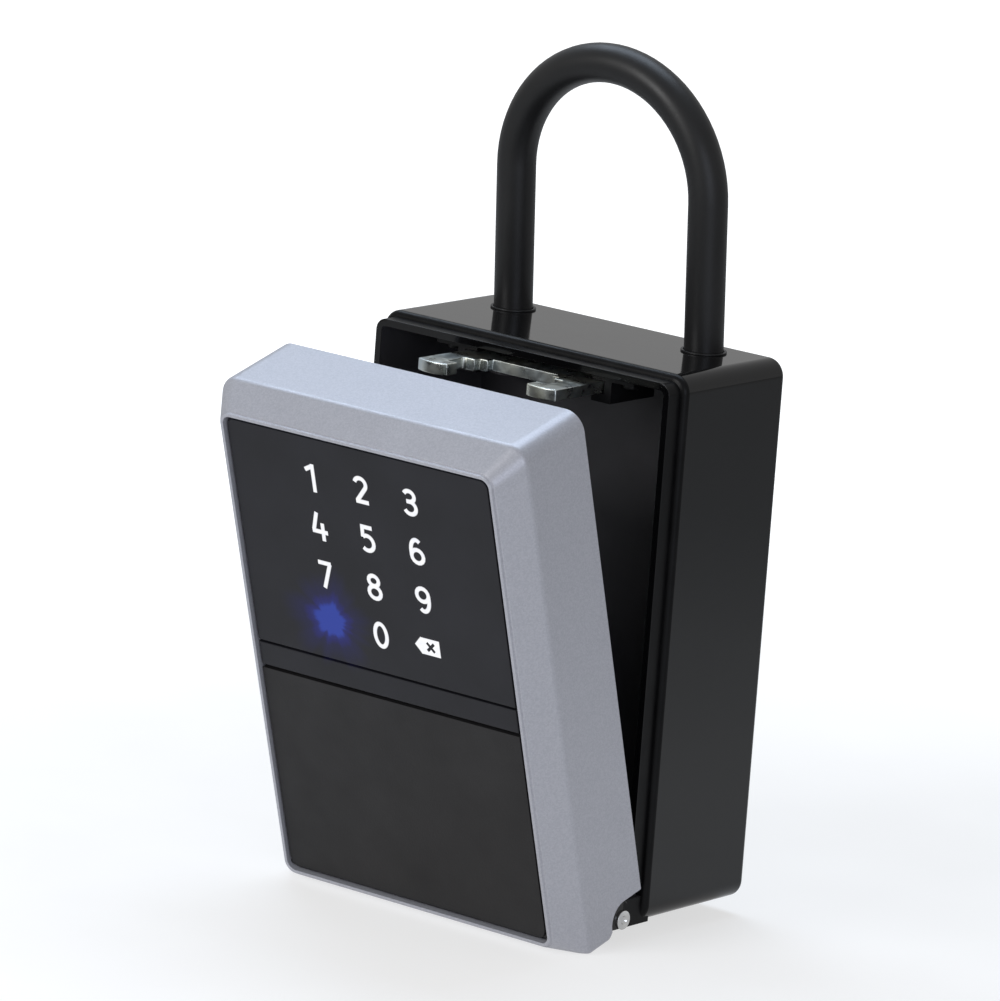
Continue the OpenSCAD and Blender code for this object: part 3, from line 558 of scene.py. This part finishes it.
def lit_digit():
    # Light guide let into the smoked window: white, dimmer where it thins out to its edges
    material, tree, surface, where = new_material("lit_digit", IOR=1.5, Roughness=0.4, Base_Color=colour("1b1b1f"),
                                                  Specular_IOR_Level=0.25)
    depth = add(tree, "SeparateXYZ", {"Vector": with_lid_shut(tree, where)}).outputs["Y"]
    light = add(tree, "MapRange", {"Value": depth, "From Min": PANEL_Y * MM,
                                   "From Max": (PANEL_Y - GUIDE_UP * 0.85) * MM, "To Min": 0.0, "To Max": 1.0},
                interpolation_type="SMOOTHSTEP").outputs["Result"]
    tree.links.new(tint(tree, vary(tree, where, 0.8, 0.0, 1.0), "f2f4fc", "ffffff"), surface.inputs["Emission Color"])
    tree.links.new(light, surface.inputs["Emission Strength"])
    return material


# Lid, modelled shut and then swung open

def hinge_rod(name, x0, x1, radius):
    return rod(name, (x0, HINGE.y, HINGE.z), (x1, HINGE.y, HINGE.z), radius)


def lid_block(name, y0, y1, wall, top_r, foot_r):
    """A block with the lid's outline less a wall, rounder at its upper corners."""
    x, z = HALF_W - wall, HALF_H - wall
    piece = block(name, (-x, y0, -z), (x, y1, z))
    for up, radius in ((1, top_r), (-1, foot_r)):
        choose(piece, "EDGE", lambda edge: along_depth(edge) and edge.verts[0].co.z * up > 0)
        bevel(radius, CORNER_STEPS)
    return alone(piece)


def lid_room(name, y0, y1, wall):
    return lid_block(name, y0, y1, wall, LID_CORNER_R - wall, LID_FOOT_R / 2)


def lid_shell():
    lid = lid_block("lid_shell", CREASE_Y, LID_BACK_Y, 0, LID_CORNER_R, LID_FOOT_R)
    choose(lid, "FACE", at_depth(CREASE_Y))
    bpy.ops.mesh.delete(type="ONLY_FACE")
    # Flat front, joined to the sides by the taper
    edge = BEAD_W + LAND_W
    x, z = WINDOW[0] / 2 + edge, WINDOW[1] / 2 + edge
    front = block("front", (-x, LAND_Y, WINDOW_Z - z), (x, CREASE_Y, WINDOW_Z + z))
    choose(front, "EDGE", along_depth)
    bevel(WINDOW_R + edge, CORNER_STEPS)
    choose(front, "FACE", lambda face: not at_depth(LAND_Y)(face))
    bpy.ops.mesh.delete(type="FACE")
    alone(lid)
    front.select_set(True)
    bpy.ops.object.join()
    choose(lid, "EDGE", lambda edge: at_depth(CREASE_Y)(edge) or at_depth(LAND_Y)(edge))
    bpy.ops.mesh.bridge_edge_loops()
    choose(lid, "FACE", lambda face: True)
    bpy.ops.mesh.normals_make_consistent(inside=False)
    # Land, raised bead and window
    choose(lid, "FACE", at_depth(LAND_Y))
    inset(LAND_W)
    inset(BEAD_SLOPE, LAND_Y - BEAD_Y)
    inset(BEAD_W - BEAD_SLOPE)
    extrude(0, LEDGE_Y + PAST - BEAD_Y, 0)
    choose(lid, "EDGE", at_depth(CREASE_Y))
    bevel(CREASE_SOFT, 3)
    choose(lid, "EDGE", at_depth(BEAD_Y))
    bevel(BEAD_SOFT, 3)
    choose(lid, "EDGE", at_depth(LAND_Y))
    bevel(LAND_SOFT, 2)
    # Lower crease, cut so that on the open lid it reaches no lower than the solid
    low, high = cad_box[0] / MM, cad_box[1] / MM
    below = block("below", (low.x - PAST, low.y - 9 * PAST, 2 * low.z), (high.x + PAST, high.y, low.z))
    carve(lid, turn_about(below, HINGE, -LID_OPEN))
    # Cavity that opens the window, back rim, room for the housing's ears, then the lugs and the screw bosses
    carve(lid, lid_room("cavity", LEDGE_Y, LID_RIM_Y + PAST, LID_WALL))
    carve(lid, lid_room("rim_room", LID_RIM_Y, LID_BACK_Y + PAST, LID_RIM_WALL))
    carve(lid, hinge_rod("ear_room", -HALF_W - PAST, HALF_W + PAST, EAR_CUT_R))
    carve(lid, block("ear_room", (-HALF_W - PAST, HINGE.y, -HALF_H - PAST),
                     (HALF_W + PAST, LID_BACK_Y + PAST, HINGE.z + EAR_CUT_R)))
    chamfer = block("chamfer", (-HALF_W - PAST, -CUT_BEVEL / 2, -CUT_BEVEL / 2),
                    (HALF_W + PAST, CUT_BEVEL / 2, CUT_BEVEL / 2))
    chamfer.rotation_euler.x = math.radians(45)
    chamfer.location = Vector((0, HINGE.y - EAR_CUT_R, -HALF_H)) * MM
    carve(lid, chamfer)
    for side in (-1, 1):
        lug = hinge_rod("lug", side * LUG_X[0], side * LUG_X[1], LUG_R)
        x0, x1 = sorted(side * x for x in LUG_X)
        carve(lug, block("lug_foot", (x0, LEDGE_Y - LUG_ROOT, -HALF_H),
                         (x1, HINGE.y, HINGE.z + LUG_R - LUG_DROP)), "UNION")
        carve(lid, lug, "UNION")
        for z in BOSS_Z:
            x = side * BOSS_X
            carve(lid, rod("boss", (x, LEDGE_Y - PAST, z), (x, COVER_FRONT_Y, z), BOSS_R), "UNION")
    # Slivers from the cuts are merged away, since they would hold the edges sharp
    merge(lid, SLIVER)
    ease(lid, LID_EASE)
    merge(lid, EASED_POINT)
    return swing(lid)


def plate(name, z0, z1, round_z=None):
    """A front panel with a small chamfer round its face, rounded like the window at one end."""
    panel = block(name, (PANEL_X[0], PANEL_Y, z0), (PANEL_X[1], PANEL_Y + PANEL_T, z1))
    if round_z:
        choose(panel, "EDGE", lambda edge: along_depth(edge) and near(edge.verts[0].co.z / MM, round_z))
        bevel(PANEL_CORNER_R, 6)
    choose(panel, "EDGE", at_depth(PANEL_Y))
    bevel(PANEL_EDGE, 2)
    return swing(panel)


def battery_cover():
    """A shallow tray on a round lower edge, which turns on a trunnion at each end."""
    z0, z1 = COVER_Z
    axis = PANEL_Y + COVER_T / 2, z0 + COVER_T / 2
    cover = block("battery_cover_moulding", (PANEL_X[0], PANEL_Y, z0), (PANEL_X[1], PANEL_Y + COVER_T, z1))
    choose(cover, "EDGE", lambda edge: at_height(z0)(edge) and near(edge.verts[0].co.y, edge.verts[1].co.y))
    bevel(COVER_T / 2 - 0.02, 8)
    outline = block("outline", (PANEL_X[0], PANEL_Y - PAST, z0),
                    (PANEL_X[1], PANEL_Y + COVER_T + PAST, z1 + PAST))
    choose(outline, "EDGE", lambda edge: along_depth(edge) and near(edge.verts[0].co.z / MM, z0))
    bevel(COVER_CORNER_R, 8)
    carve(cover, alone(outline), "INTERSECT")
    carve(cover, block("hollow", (PANEL_X[0] + COVER_EDGE, PANEL_Y + COVER_SKIN, z0 + 2 * COVER_EDGE),
                       (PANEL_X[1] - COVER_EDGE, PANEL_Y + COVER_T + PAST, z1 - COVER_EDGE)))
    carve(cover, rod("trunnion", (-TRUNNION_X, *axis), (TRUNNION_X, *axis), TRUNNION_R, 32), "UNION")
    ease(cover, COVER_EASE)
    return swing(cover)


def arc(x, z, rx, rz, start, end, steps=16):
    """Points on part of an oval, counted in degrees from the right, anticlockwise."""
    turns = [math.radians(start + (end - start) * i / steps) for i in range(steps + 1)]
    return [(x + rx * math.cos(turn), z + rz * math.sin(turn)) for turn in turns]


def turned(strokes):
    """Strokes turned half round."""
    return [[(-x, -z) for x, z in stroke] for stroke in strokes]


# Centre lines of the plain lit digits, about each key's middle
TOP = DIGIT_H / 2
BAR = TOP - STROKE / 2
SIX = [arc(0.05, 0, 1.6, BAR, 55, 180) + [(-1.55, -1.2)], arc(0.05, -1.15, 1.6, BAR - 1.15, 0, 360)]
DIGITS = {
    0: [arc(0, 0, 1.6, BAR, 0, 360, 32)],
    1: [[(-1.75, 1.75), (0.1, 2.75)], [(0.3, TOP), (0.3, -TOP)]],
    2: [arc(-0.05, 1.4, 1.5, 1.42, 165, -35) + [(-1.4, -2.6)], [(-1.75, -BAR), (1.75, -BAR)]],
    3: [arc(-0.15, 1.46, 1.4, 1.24, 155, -90), arc(-0.2, -1.24, 1.6, 1.46, 90, -155), [(-1.0, 0.22), (0, 0.22)]],
    4: [[(-0.3, TOP), (-1.6, -1.0)], [(-2.0, -1.2), (2.25, -1.2)], [(0.95, 0.9), (0.95, -TOP)]],
    5: [[(-1.35, BAR), (1.5, BAR)], [(-1.15, TOP - 0.1), (-1.3, 0.25)], arc(-0.25, -1.05, 1.75, 1.75, 125, -135)],
    6: SIX,
    7: [[(-1.75, BAR), (1.8, BAR)], [(1.5, BAR), (-0.75, -TOP)]],
    8: [arc(0, 1.5, 1.35, 1.2, 0, 360), arc(0, -1.25, 1.6, 1.45, 0, 360)],
    9: turned(SIX),
}


def key_place(number):
    """Column and row of a digit's key, as the middle of the key on the panel."""
    column, row = ((number - 1) % 3, 3 - (number - 1) // 3) if number else (1, 0)
    return Vector(((column - 1) * KEY_DX, PANEL_Y, KEY_Z0 + row * KEY_DZ))


def lit_sign(name, strokes, middle):
    """Light guides of even width along the strokes, let into the panel and standing just proud of it."""
    line = bpy.data.curves.new(name, "CURVE")
    line.dimensions = "3D"
    line.bevel_depth = STROKE / 2
    line.bevel_resolution = 2
    line.use_fill_caps = True
    for points in strokes:
        closed = len(points) > 2 and math.dist(points[0], points[-1]) < 0.01
        spline = line.splines.new("POLY")
        spline.use_cyclic_u = closed
        points = points[:-1] if closed else points
        spline.points.add(len(points) - 1)
        for point, (x, z) in zip(spline.points, points):
            point.co = (x, 0, z, 1)
    sign = bpy.data.objects.new(name, line)
    bpy.context.scene.collection.objects.link(sign)
    alone(sign)
    bpy.ops.object.convert(target="MESH")
    sign.matrix_world = Matrix.Translation(middle * MM) @ Matrix.Diagonal((MM, MM * GUIDE_UP / STROKE * 2, MM, 1))
    bpy.ops.object.transform_apply(location=True, rotation=True, scale=True)
    merge(sign)
    return swing(sign)


def delete_sign():
    """A plain arrow-shaped tab with a cross cut through it."""
    x0, x1, up, point = -3.7, 3.55, 2.2, 1.9
    arm, half, cross_x = 1.4, 0.36, 0.8
    face_share = (0.9, 1, 0.84)
    off_key = Vector((-0.5, 0, 0.2))
    sign = block("delete_sign", (x0, -GUIDE_UP, -up), (x1, GUIDE_UP, up))
    choose(sign, "EDGE", lambda edge: at_side(x0)(edge) and near(edge.verts[0].co.y, edge.verts[1].co.y))
    bpy.ops.mesh.subdivide(number_cuts=1)
    choose(sign, "VERT", lambda corner: near(corner.co.x / MM, x0) and abs(corner.co.z / MM) > 1)
    bpy.ops.transform.translate(value=(point * MM, 0, 0))
    choose(sign, "FACE", at_depth(-GUIDE_UP))
    bpy.ops.transform.resize(value=face_share)
    for angle in (-45, 45):
        bar = block("bar", (-arm, -PAST, -half), (arm, PAST, half))
        bar.matrix_world = Matrix.Translation((cross_x * MM, 0, 0)) @ Matrix.Rotation(math.radians(angle), 4, "Y")
        carve(sign, bar)
    alone(sign)
    sign.location = (key_place(0) + Vector((KEY_DX, 0, 0)) + off_key) * MM
    bpy.ops.object.transform_apply(location=True, rotation=True, scale=True)
    return swing(sign)


# Housing

def hinge_knuckle(x0, x1):
    """An ear of the housing: round about the pin, flat below."""
    ear = hinge_rod("ear", x0, x1, EAR_R)
    carve(ear, block("foot", (x0, HINGE.y, -HALF_H), (x1, STEP_Y + WALL, HINGE.z + EAR_R)), "UNION")
    carve(ear, block("under", (x0 - PAST, HINGE.y - 2 * EAR_R, -HALF_H - 2 * EAR_R), (x1 + PAST, 0, -HALF_H)))
    return ear


def housing_shell():
    shell = block("housing_shell", (-HALF_W, STEP_Y, -HALF_H), (HALF_W, 0, HALF_H))
    choose(shell, "EDGE", along_depth)
    bevel(CORNER_R, 10)
    choose(shell, "EDGE", lambda edge: at_depth(STEP_Y)(edge) or at_depth(0)(edge))
    bevel(EDGE_R, 6)
    choose(shell, "FACE", at_depth(STEP_Y))
    extrude(0, LIP_Y - STEP_Y, 0)
    inset(WALL - EDGE_R)
    extrude(0, -WALL - LIP_Y, 0)
    choose(shell, "EDGE", at_depth(LIP_Y))
    bevel(RIM_EDGE, 3)
    carve(shell, block("rim_gap", (-HALF_W - PAST, LIP_Y - PAST, -HALF_H - PAST),
                       (HALF_W + PAST, STEP_Y, RIM_OPEN_Z)))
    for side in (-1, 1):
        x = side * LEG_X
        carve(shell, hinge_knuckle(*sorted(side * edge for edge in EAR_X)), "UNION")
        carve(shell, lean(rod("pocket", (x, LEG_Y, POCKET_Z[0]), (x, LEG_Y, POCKET_Z[1]), POCKET_R)), "UNION")
        carve(shell, block("web", (x - POCKET_WEB, LEG_Y, POCKET_Z[0]),
                           (x + POCKET_WEB, -WALL + WEB_ROOT, POCKET_Z[1])), "UNION")
        carve(shell, lean(rod("pocket_bore", (x, LEG_Y, LEG_END_Z), (x, LEG_Y, POCKET_Z[1] + PAST), POCKET_BORE_R)))
        carve(shell, lean(rod("leg_hole", (x, LEG_Y, HALF_H - WALL - PAST), (x, LEG_Y, HALF_H + PAST), BUSH_R)))
    carve(shell, hinge_knuckle(-RAIL_X, RAIL_X), "UNION")
    ease(shell, HOUSING_EASE)
    return shell


# Faces inside the cavity: they take the lighter grey coat that is partly painted reflected light
def in_cavity(face):
    x, y, z = face.calc_center_median() / MM
    return abs(x) < HALF_W - WALL + 0.05 and abs(z) < HALF_H - WALL + 0.05 and LIP_Y + 1 < y < 0.05 - WALL


def on_lip(face):
    x, y, z = face.calc_center_median() / MM
    return LIP_Y + RIM_EDGE < y < STEP_Y + EDGE_R and max(abs(x) - HALF_W, abs(z) - HALF_H) > 0.5 - WALL


def hinge_pin(side):
    """Pin with a domed head that is dimpled at its middle."""
    end = side * EAR_X[1]
    face = end + side * PIN_HEAD_T
    pin = hinge_rod("hinge_pin", side * (LUG_X[0] + 0.5), end, PIN_R)
    choose(pin, "FACE", at_side(end))
    bpy.ops.mesh.extrude_region_move()
    bpy.ops.transform.resize(value=(1, PIN_HEAD_R / PIN_R, PIN_HEAD_R / PIN_R))
    extrude(side * PIN_HEAD_T, 0, 0)
    inset(PIN_FLAT)
    inset(PIN_DIMPLE[0], -PIN_DIMPLE[1])
    choose(pin, "EDGE", lambda edge: at_side(face)(edge)
           and (edge.verts[0].co / MM - HINGE).yz.length > PIN_HEAD_R - 0.1)
    bevel(PIN_DOME, 4)
    return pin


# Shackle

def shackle_sleeve():
    """A ring drawn up one leg, spun over the arch and drawn down the other, with the core's bore at both ends."""
    alone(None)
    bpy.ops.mesh.primitive_circle_add(vertices=40, radius=SLEEVE_R * MM,
                                      location=Vector((LEG_X, LEG_Y, SLEEVE_Z0)) * MM)
    sleeve = settle("shackle_sleeve_tube")
    choose(sleeve, "EDGE", lambda edge: True)
    extrude(0, 0, ARCH_Z - SLEEVE_Z0)
    bpy.ops.mesh.spin(steps=40, angle=math.pi, center=Vector((0, LEG_Y, ARCH_Z)) * MM, axis=(0, 1, 0))
    extrude(0, 0, SLEEVE_Z0 - ARCH_Z)
    for side in (-1, 1):
        choose(sleeve, "EDGE", lambda edge: at_height(SLEEVE_Z0)(edge) and edge.verts[0].co.x * side > 0)
        bpy.ops.mesh.extrude_region_move()
        bpy.ops.transform.resize(value=(CORE_R / SLEEVE_R, CORE_R / SLEEVE_R, 1))
        extrude(0, 0, SLEEVE_BORE)
        bpy.ops.mesh.edge_face_add()
    merge(sleeve)
    bpy.ops.mesh.normals_make_consistent(inside=False)
    choose(sleeve, "EDGE", at_height(SLEEVE_Z0))
    bevel(SLEEVE_EDGE, 2)
    return lean(sleeve)


# Finishes of all pieces

enamel = gloss_black_enamel()
cavity_coat_and_painted_reflection = cavity_coat_with_painted_reflection()
primer = matt_black_primer()
silver = silver_flake_paint()
smoked = smoked_polycarbonate()
abs_black = textured_black_abs()
nylon = satin_black_nylon()
zinc = bright_zinc_plate()
steel = polished_steel()
bar_steel = hardened_steel()
oxide = black_oxide()
rubber = black_rubber()
board = green_solder_mask()
gear_brass = brass("machined_brass", "8a6a2e", "b08d46")
can_brass = brass("gilt_cell_can", "6f5a30", "9c8350")
white_lens = lit_lens("white_light_guide", "d8d8da", "f4f6ff", "ffffff")
blue_lens = lit_lens("blue_light_guide", "2030a0", "2436c8", "3a52ff")
digit_light = lit_digit()

place(lid_shell(), "lid", "silver_paint", silver, "lid_frame")
place(plate("keypad_window", *KEYPAD_Z, KEYPAD_Z[1]), "lid", "keypad_window", smoked, "keypad_panel")
place(plate("centre_strip_bar", *STRIP_Z), "lid", "keypad_window", smoked, "centre_strip")
place(battery_cover(), "battery_cover", "black_moulding", abs_black, "battery_cover")
housing = housing_shell()
place(housing, "housing", "gloss_black_paint", enamel, "housing")
# Cavity faces get the grey coat that is partly painted reflected light; the lip and the edge behind it get the matt
# primer
for index, (material, part_of_it) in enumerate(((cavity_coat_and_painted_reflection, in_cavity), (primer, on_lip)), 1):
    housing.data.materials.append(material)
    choose(housing, "FACE", part_of_it)
    housing.active_material_index = index
    bpy.ops.object.material_slot_assign()
place(shackle_sleeve(), "shackle", "shackle_coat", nylon, "shackle_sleeve")

for side, name in ((-1, "left"), (1, "right")):
    pin = hinge_pin(side)
    pin.name = "hinge_pin_" + name
    place(pin, "housing", "bright_steel", steel, "hinge_pins")
for number, strokes in DIGITS.items():
    place(lit_sign(f"digit_{number}", strokes, key_place(number)), "lid", "white_light", digit_light, angle=180)
place(delete_sign(), "lid", "white_light", digit_light)

# Solids that show with softer edges: node, body, slot, material, edge radius in millimetres
SOFTENED = [
    ("release_fork", "fork", "zinc_plate", zinc, 0.25),
    ("shackle_bushes", "housing", "shackle_coat", nylon, 0.12),
    ("fork_guides", "housing", "black_oxide", oxide, 0.15),
    ("guide_screws", "housing", "black_oxide", oxide, 0.15),
    ("cover_screws", "lid", "zinc_plate", zinc, 0.12),
    ("lid_seal", "lid", "black_rubber", rubber, 0.3),
    ("key_hook", "lid", "bright_steel", steel, 0.15),
    ("bolt_shelf", "lid", "black_moulding", abs_black, 0.12),
    ("bolt_cap", "lid", "zinc_plate", zinc, 0.12),
    ("bolt_left", "bolt_left", "zinc_plate", zinc, 0.08),
    ("bolt_right", "bolt_right", "zinc_plate", zinc, 0.08),
    ("lock_pinion", "pinion", "gear_brass", gear_brass, 0.05),
    ("battery_cell", "lid", "cell_can", can_brass, 0.6),
    ("battery_tray", "lid", "black_moulding", abs_black, 0.12),
]
for node, body, slot, material, radius in SOFTENED:
    place(softened(node, node + "_eased", radius), body, slot, material, node)

# Solids that keep their own shape
for node, material in (("shackle_core", bar_steel), ("inner_cover", abs_black), ("panel_carrier", abs_black),
                       ("circuit_board", board), ("digit_leds", white_lens), ("status_led", blue_lens),
                       ("radio_module", steel), ("battery_contacts", steel), ("lock_motor", steel),
                       ("motor_clip", abs_black)):
    mesh = frame["nodes"][node].data
    mesh.materials.clear()
    mesh.materials.append(material)

# Camera at the photograph's angle
TARGET = Vector((0, -42.32, 26.05))
DISTANCE = 1562.25
AZIMUTH = 38.508
ELEVATION = 12.545
ROLL = 4.25
bpy.ops.object.camera_add()
camera = bpy.context.object
across, climb = math.radians(AZIMUTH), math.radians(ELEVATION)
backward = Vector((math.sin(across) * math.cos(climb), -math.cos(across) * math.cos(climb), math.sin(climb)))
camera.location = (TARGET + backward * DISTANCE) * MM
camera.rotation_mode = "QUATERNION"
camera.rotation_quaternion = (-backward).to_track_quat("-Z", "Y") @ Quaternion((0, 0, 1), math.radians(ROLL))
camera.data.sensor_fit = "HORIZONTAL"
camera.data.sensor_width = 36
camera.data.lens = 262.13
bpy.context.scene.camera = camera


# Studio: pale floor, white backdrop, soft lamps

def seen_by(tree, direct, mirrored, scattered):
    """How bright a backdrop shows to the camera, in gloss and glass, and as light on matt faces."""
    ray = add(tree, "LightPath").outputs
    gloss = add(tree, "Math", {0: ray["Is Glossy Ray"], 1: ray["Is Transmission Ray"]},
                operation="MAXIMUM").outputs[0]
    level = 0.0
    for seen, share in ((ray["Is Camera Ray"], direct), (gloss, mirrored), (ray["Is Diffuse Ray"], scattered)):
        level = add(tree, "Math", {0: seen, 1: share, 2: level}, operation="MULTIPLY_ADD").outputs[0]
    return level


# Floor: size and gap below the box, and where its shadowed part begins and ends to fade
FLOOR_SIZE = 12000
FLOOR_GAP = 0.3
FADE = (100, 450)


def paper_sweep():
    # Matt paper sheet: fades to the backdrop's white away from the box, and keeps the shadow near it
    material, tree, surface, where = new_material("paper_sweep", Roughness=0.9, Emission_Color=colour("ffffff"))
    tree.links.new(tint(tree, vary(tree, where, 40, 0.0, 1.0), "9c9c9c", "a2a2a2"), surface.inputs["Base Color"])
    away = add(tree, "VectorMath", {0: where}, operation="LENGTH").outputs["Value"]

    def fade(near_box, far_off):
        return add(tree, "MapRange", {"Value": away, "From Min": FADE[0] * MM, "From Max": FADE[1] * MM,
                                      "To Min": near_box, "To Max": far_off},
                   interpolation_type="SMOOTHSTEP").outputs["Result"]

    tree.links.new(seen_by(tree, fade(0.65, 1.0), fade(0.45, 0.2), 0.6), surface.inputs["Emission Strength"])
    return material


bpy.ops.object.select_all(action="DESELECT")
bpy.ops.mesh.primitive_grid_add(x_subdivisions=8, y_subdivisions=8, size=FLOOR_SIZE * MM,
                                location=(0, 0, cad_box[0].z - FLOOR_GAP * MM))
floor = settle("studio_floor")
floor.data.materials.append(paper_sweep())

AMBIENT = 0.25
MIRRORED = 0.55
world = bpy.data.worlds.new("studio")
bpy.context.scene.world = world
world.use_nodes = True
sky = world.node_tree
sky.nodes.clear()
backdrop = add(sky, "Background", {"Color": colour("ffffff"), "Strength": seen_by(sky, 1.0, MIRRORED, AMBIENT)})
add(sky, "OutputWorld", {"Surface": backdrop.outputs[0]})


def softbox(name, spot, aim, size, power, shade):
    """An area lamp that faces a point, in millimetres and watts."""
    spot = Vector(spot)
    bpy.ops.object.light_add(type="AREA", location=spot * MM)
    lamp = bpy.context.object
    lamp.name = name
    lamp.rotation_mode = "QUATERNION"
    lamp.rotation_quaternion = (Vector(aim) - spot).to_track_quat("-Z", "Y")
    lamp.data.shape = "RECTANGLE"
    lamp.data.size, lamp.data.size_y = size[0] * MM, size[1] * MM
    lamp.data.energy = power
    lamp.data.color = colour(shade)[:3]


softbox("overhead_lamp", (-400, 200, 900), (-400, TARGET.y, TARGET.z), (1000, 500), 7, "dcecff")
softbox("front_lamp", (-300, -1150, 480), TARGET, (500, 400), 6, "ffffff")
softbox("low_right_lamp", (950, -700, 120), TARGET, (600, 600), 3, "e4ecff")

bpy.context.scene.view_settings.view_transform = "Standard"
